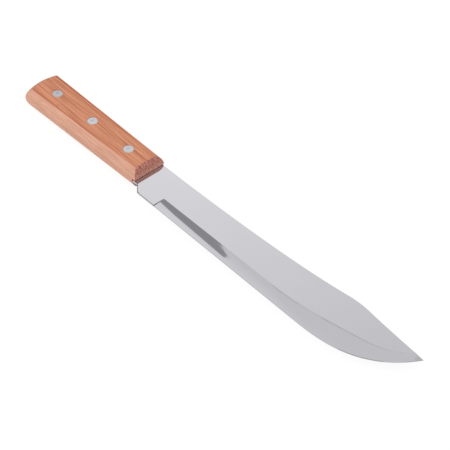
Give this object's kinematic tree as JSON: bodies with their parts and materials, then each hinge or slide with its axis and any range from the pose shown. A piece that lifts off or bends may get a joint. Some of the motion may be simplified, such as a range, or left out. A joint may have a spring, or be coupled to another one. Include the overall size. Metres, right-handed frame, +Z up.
{
  "type": "kitchen knife",
  "caption": "Butcher-pattern kitchen knife: a swept, clipped, hollow-ground steel blade let into a slotted wooden handle and held by flush aluminium rivets, for slicing and trimming meat.",
  "frame": {"origin": "on the surface the knife lies on, under the middle of its bounding box", "axes": "+X from the butt of the handle to the tip of the blade, +Y from the cutting edge to the spine, +Z up through the thickness"},
  "size_m": [0.3806, 0.0432, 0.0177],
  "materials": {
    "blade_steel": "satin polish along the blade, with a finer hollow-ground bevel",
    "handle_wood": "smooth sanded reddish hardwood with fine straight grain, thinly oiled",
    "rivet_aluminium": "sanded flush with the wood, with a pressed dimple"
  },
  "bodies": {
    "root": {"blade": "blade_steel", "handle": "handle_wood", "front_rivet": "rivet_aluminium", "middle_rivet": "rivet_aluminium", "rear_rivet": "rivet_aluminium"}
  },
  "joints": []
}
